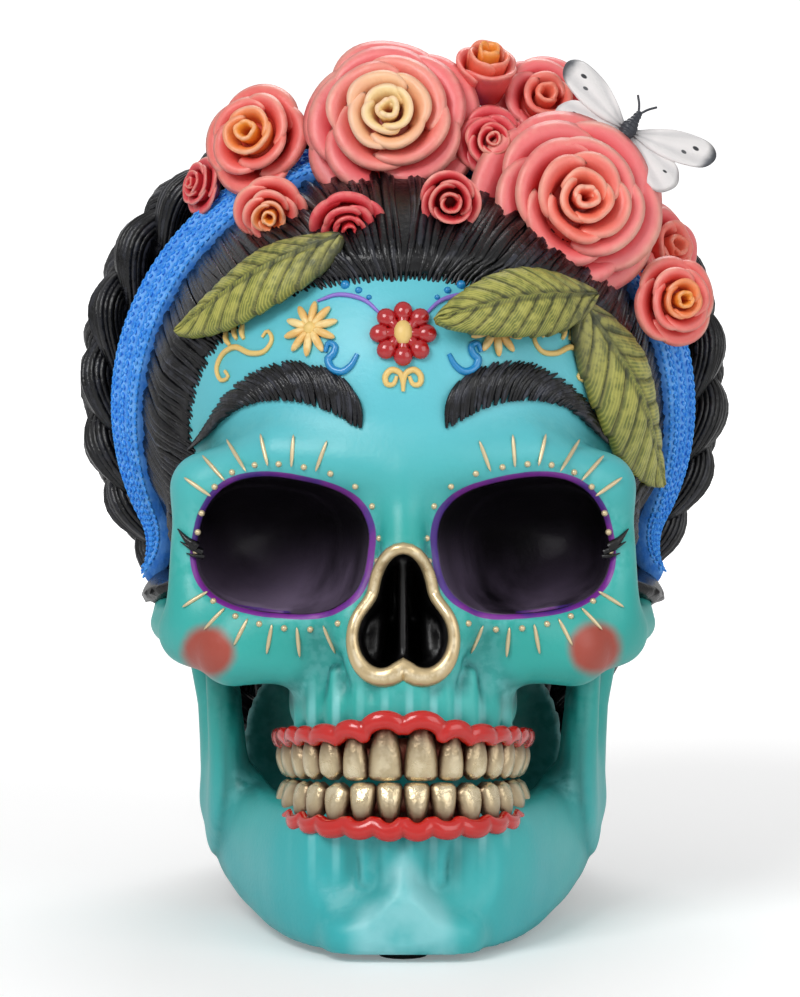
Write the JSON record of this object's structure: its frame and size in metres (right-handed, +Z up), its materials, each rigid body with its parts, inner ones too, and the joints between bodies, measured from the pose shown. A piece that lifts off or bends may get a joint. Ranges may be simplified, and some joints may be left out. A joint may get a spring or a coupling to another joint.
{
  "type": "sugar skull ornament",
  "caption": "Hand-painted hollow resin skull ornament with plaited hair, a headband, a crown of roses with leaves and a butterfly, and painted floral decoration, standing on felt pads.",
  "frame": {"origin": "middle of the footprint's bounding box, on the plane that the felt pads stand on", "axes": "+Z up, the face looks along -Y and slightly up, +X to the left of the skull and to the right of a viewer in front"},
  "size_m": [0.1516, 0.1782, 0.1997],
  "materials": {
    "turquoise_paint": "hand-painted resin, airbrushed and drybrushed",
    "black_hair_paint": "hand-painted resin, drybrushed grey",
    "blue_band_paint": "hand-painted resin with a knitted relief",
    "gold_paint": "pale gold metallic paint with a brown wash",
    "gum_red_paint": "gloss paint",
    "flower_red_paint": "gloss paint",
    "ochre_paint": "matt paint",
    "scroll_blue_paint": "satin paint",
    "rose_pink_paint": "hand-painted resin, coral with cream edges",
    "leaf_green_paint": "hand-painted resin with dark veins",
    "wing_white_paint": "white with grey tips and small spots",
    "insect_black_paint": "matt paint",
    "black_felt": "felt",
    "grey_rubber": "matt"
  },
  "bodies": {
    "root": {"skull_shell": "turquoise_paint", "lower_jaw": "turquoise_paint", "hair_cap": "black_hair_paint", "braid_left": "black_hair_paint", "braid_right": "black_hair_paint", "brow_left": "black_hair_paint", "brow_right": "black_hair_paint", "headband": "blue_band_paint", "upper_teeth": "gold_paint", "lower_teeth": "gold_paint", "nose_rim": "gold_paint", "upper_gum": "gum_red_paint", "lower_gum": "gum_red_paint", "red_flower": "flower_red_paint", "red_flower_centre": "ochre_paint", "daisy_left": "ochre_paint", "daisy_left_centre": "ochre_paint", "daisy_right": "ochre_paint", "daisy_right_centre": "ochre_paint", "gold_curl": "ochre_paint", "gold_scroll_left": "ochre_paint", "gold_scroll_right": "ochre_paint", "blue_scroll_left": "scroll_blue_paint", "blue_scroll_right": "scroll_blue_paint", "rose_left": "rose_pink_paint", "rose_right": "rose_pink_paint", "rose_back": "rose_pink_paint", "rose_side": "rose_pink_paint", "rose_temple": "rose_pink_paint", "rose_far_left": "rose_pink_paint", "bud_far_left": "rose_pink_paint", "bud_left": "rose_pink_paint", "ruffle": "rose_pink_paint", "bud_middle": "rose_pink_paint", "bud_top": "rose_pink_paint", "petals_middle": "rose_pink_paint", "leaf_left": "leaf_green_paint", "leaf_middle": "leaf_green_paint", "leaf_right": "leaf_green_paint", "wing_left": "wing_white_paint", "wing_right": "wing_white_paint", "butterfly_body": "insect_black_paint", "pad_front": "black_felt", "pad_left": "black_felt", "pad_right": "black_felt", "pour_hole_plug": "grey_rubber"}
  },
  "joints": []
}
